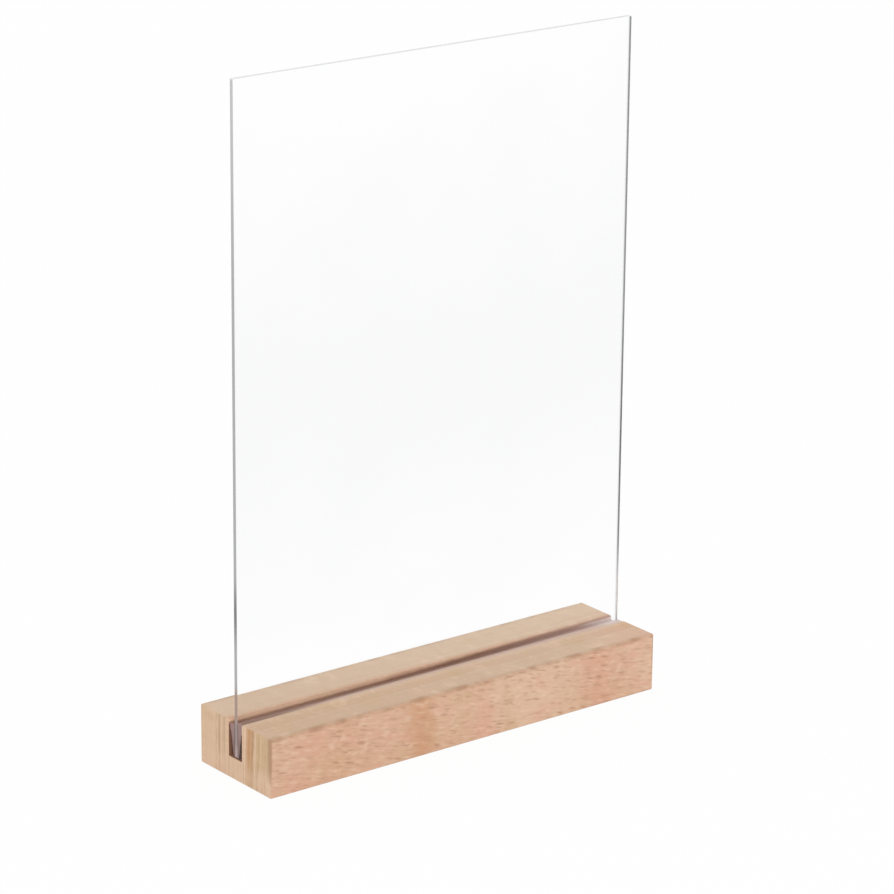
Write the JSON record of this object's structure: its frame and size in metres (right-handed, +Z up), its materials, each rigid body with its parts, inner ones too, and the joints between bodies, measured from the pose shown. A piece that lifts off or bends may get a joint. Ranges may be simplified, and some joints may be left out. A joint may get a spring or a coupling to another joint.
{
  "type": "table sign stand",
  "caption": "Upright clear sheet that stands in a slot along a solid wooden block, wedged by clear strips, and lifts out so that a sign can be changed.",
  "frame": {"origin": "middle of the block's underside, on the surface that the stand rests on", "axes": "+Z up along the sheet, +X along the block and the sheet's width, +Y from the front of the block to its back"},
  "size_m": [0.2126, 0.052, 0.307],
  "materials": {
    "beech": "planed and sanded beech, fine flecked grain, bare or matt oiled",
    "clear_sheet": "clear polished acrylic sheet with grey cut edges",
    "clear_strip": "clear smooth plastic strip"
  },
  "bodies": {
    "base": {"base_block": "beech"},
    "sheet": {"clear_sheet": "clear_sheet"},
    "front_strip": {"front_wedge_strip": "clear_strip"},
    "rear_strip": {"rear_wedge_strip": "clear_strip"}
  },
  "joints": [
    {"name": "sheet_lift", "type": "slide", "parent": "base", "child": "sheet", "axis": [0, 0, 1], "range_m": [0, 0.017]},
    {"name": "front_strip_lift", "type": "slide", "parent": "base", "child": "front_strip", "axis": [0, 0, 1], "range_m": [0, 0.017]},
    {"name": "rear_strip_lift", "type": "slide", "parent": "base", "child": "rear_strip", "axis": [0, 0, 1], "range_m": [0, 0.017]}
  ]
}
